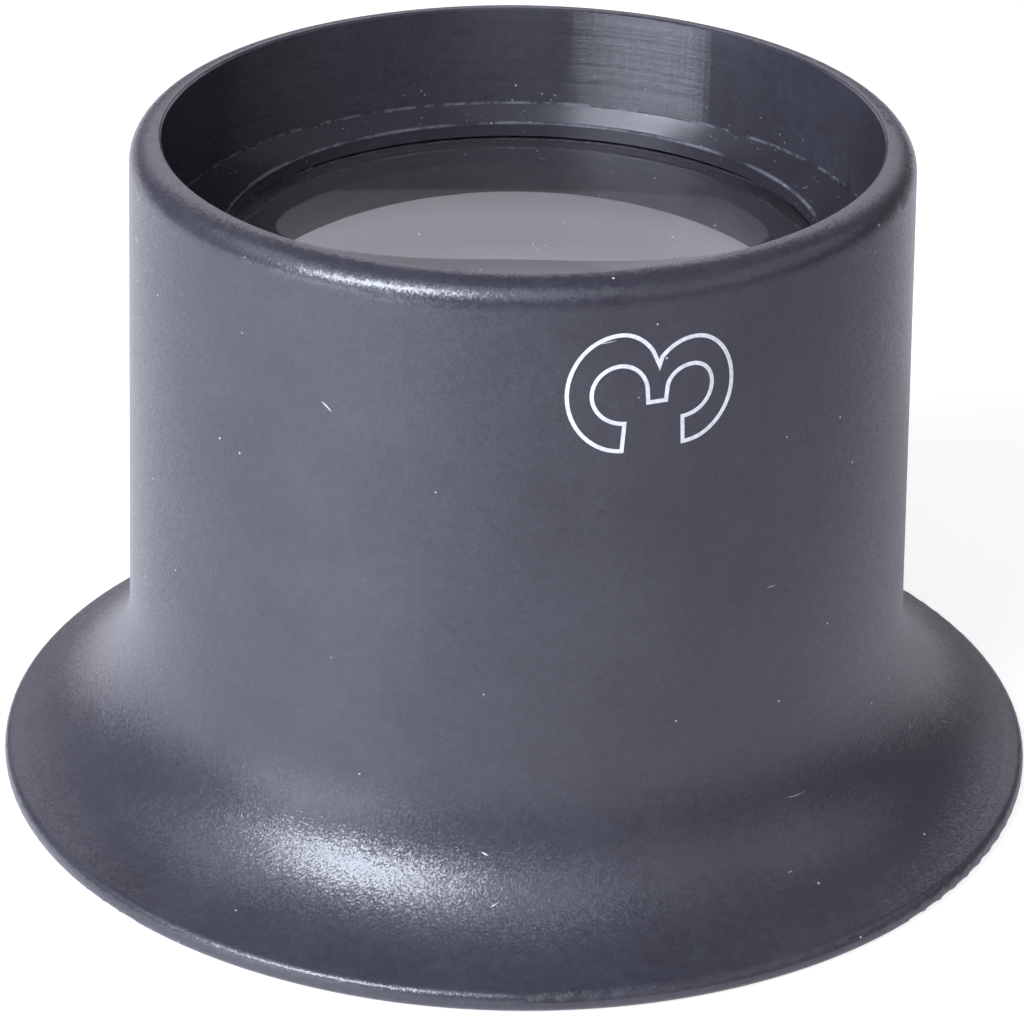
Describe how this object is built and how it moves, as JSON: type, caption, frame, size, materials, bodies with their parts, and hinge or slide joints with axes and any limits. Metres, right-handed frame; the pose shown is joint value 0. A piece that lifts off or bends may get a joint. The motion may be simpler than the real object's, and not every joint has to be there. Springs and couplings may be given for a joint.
{
  "type": "eye loupe",
  "caption": "Eye loupe: a tapered tube with a flared eye flange and a plain magnifying lens, which a pressed ring holds on a ledge.",
  "frame": {"origin": "centre of the flat foot under the eye flange, on the optical axis", "axes": "+Z along the optical axis, from the eye flange to the rim in front of the lens; -Y towards the printed side, +X to the right of it"},
  "size_m": [0.0376, 0.0376, 0.024],
  "materials": {
    "housing_plastic": "fine spark-eroded grain, anthracite",
    "lens_acrylic": "polished clear acrylic",
    "ring_plastic": "smooth, near black",
    "print_ink": "matt white pad print"
  },
  "bodies": {
    "root": {"eyecup_body": "housing_plastic", "lens": "lens_acrylic", "retaining_ring": "ring_plastic"}
  },
  "joints": []
}
